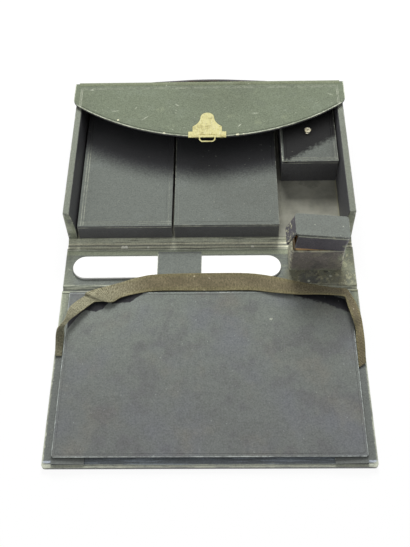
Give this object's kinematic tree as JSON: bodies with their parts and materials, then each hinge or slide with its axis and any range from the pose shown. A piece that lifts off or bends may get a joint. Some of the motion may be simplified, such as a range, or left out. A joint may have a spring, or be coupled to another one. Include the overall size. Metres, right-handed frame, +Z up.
{
  "type": "travelling writing case",
  "caption": "Leather travelling writing case, open: tray of lidded paper boxes under a hasped flap, spine with ink box and paper knife, cover with gusseted pocket and strap.",
  "frame": {"origin": "centre of the underside of the tray, on the surface the open case lies on", "axes": "+Y from the reader towards the handle, along the open case; +Z up; +X to the reader's right"},
  "size_m": [0.31, 0.4657, 0.0676],
  "materials": {
    "case_leather": "worn dark grained leather, rubbed pale at the edges",
    "wall_leather": "dark leather, rubbed pale along the top",
    "box_leather": "near-black leather over board",
    "lid_leather": "faded black leather with blind-tooled lines",
    "pocket_leather": "thin dark skiver",
    "lining": "thin olive-brown lining",
    "raw_board": "bare board, browned by age",
    "bone": "polished bone",
    "webbing": "woven olive-brown webbing",
    "brass": "pale worn brass",
    "steel": "dull steel",
    "glass": "clear pressed glass"
  },
  "bodies": {
    "tray": {"tray_floor": "case_leather", "tray_left_wall": "wall_leather", "tray_right_wall": "wall_leather", "tray_back_wall": "wall_leather", "tray_lining": "lining", "flap_hinge_leather": "case_leather", "spine_hinge_leather": "case_leather", "envelope_box": "box_leather", "paper_box": "box_leather", "corner_box": "box_leather", "handle_strap": "case_leather", "handle_plates": "case_leather", "handle_studs": "brass"},
    "envelope_lid": {"envelope_box_lid": "lid_leather"},
    "paper_lid": {"paper_box_lid": "lid_leather"},
    "corner_lid": {"corner_box_lid": "lid_leather", "corner_lid_knob": "brass", "knob_screw": "steel"},
    "flap": {"flap_board": "case_leather", "flap_lining": "lining", "hasp_plate": "brass", "hasp_tacks": "brass", "hasp_hinge_pin": "steel"},
    "hasp": {"hasp_staple": "brass"},
    "spine": {"spine_board": "case_leather", "cover_hinge_leather": "case_leather", "knife_loop": "lid_leather", "ink_box": "box_leather", "ink_box_sleeve": "raw_board", "ink_bottle": "glass", "ink_bottle_cap": "brass"},
    "knife": {"paper_knife": "bone"},
    "ink_lid": {"ink_box_lid": "lid_leather"},
    "cover": {"cover_board": "case_leather", "lock_plate": "brass", "lock_tacks": "steel", "pocket_back": "pocket_leather", "pocket_fold": "pocket_leather", "pocket_left_gusset": "pocket_leather", "pocket_right_gusset": "pocket_leather", "retaining_band": "webbing"},
    "catch": {"lock_catch": "brass"},
    "pocket": {"pocket_front": "lid_leather"}
  },
  "joints": [
    {"name": "envelope_lid_hinge", "type": "hinge", "parent": "tray", "child": "envelope_lid", "pos_m": [-0.0902, 0.087, 0.0223], "axis": [1, 0, 0], "range_deg": [-15, 0]},
    {"name": "paper_lid_hinge", "type": "hinge", "parent": "tray", "child": "paper_lid", "pos_m": [0.0184, 0.087, 0.0233], "axis": [1, 0, 0], "range_deg": [-15, 0]},
    {"name": "corner_lid_hinge", "type": "hinge", "parent": "tray", "child": "corner_lid", "pos_m": [0.111, 0.087, 0.0337], "axis": [1, 0, 0], "range_deg": [-8, 0]},
    {"name": "flap_hinge", "type": "hinge", "parent": "tray", "child": "flap", "pos_m": [0, 0.0955, 0.0488], "axis": [-1, 0, 0], "range_deg": [0, 180]},
    {"name": "hasp_hinge", "type": "hinge", "parent": "flap", "child": "hasp", "pos_m": [-0.002, 0.008, 0.052], "axis": [1, 0, 0], "range_deg": [0, 90]},
    {"name": "spine_hinge", "type": "hinge", "parent": "tray", "child": "spine", "pos_m": [0, -0.1075, 0.0005], "axis": [-1, 0, 0], "range_deg": [0, 90]},
    {"name": "knife_slide", "type": "slide", "parent": "spine", "child": "knife", "axis": [1, 0, 0], "range_m": [-0.22, 0]},
    {"name": "ink_lid_hinge", "type": "hinge", "parent": "spine", "child": "ink_lid", "pos_m": [0.138, -0.1258, 0.038], "axis": [0, -1, 0], "range_deg": [-100, 7]},
    {"name": "cover_hinge", "type": "hinge", "parent": "spine", "child": "cover", "pos_m": [0, -0.1617, 0.0005], "axis": [-1, 0, 0], "range_deg": [0, 90], "deforming": ["retaining_band"]},
    {"name": "catch_slide", "type": "slide", "parent": "cover", "child": "catch", "axis": [1, 0, 0], "range_m": [0, 0.0025], "stiffness_N_per_m": 400, "springref_m": -0.002},
    {"name": "pocket_hinge", "type": "hinge", "parent": "cover", "child": "pocket", "pos_m": [0, -0.16835, 0.0076], "axis": [1, 0, 0], "range_deg": [-12, 0], "deforming": ["pocket_left_gusset", "pocket_right_gusset"]}
  ]
}
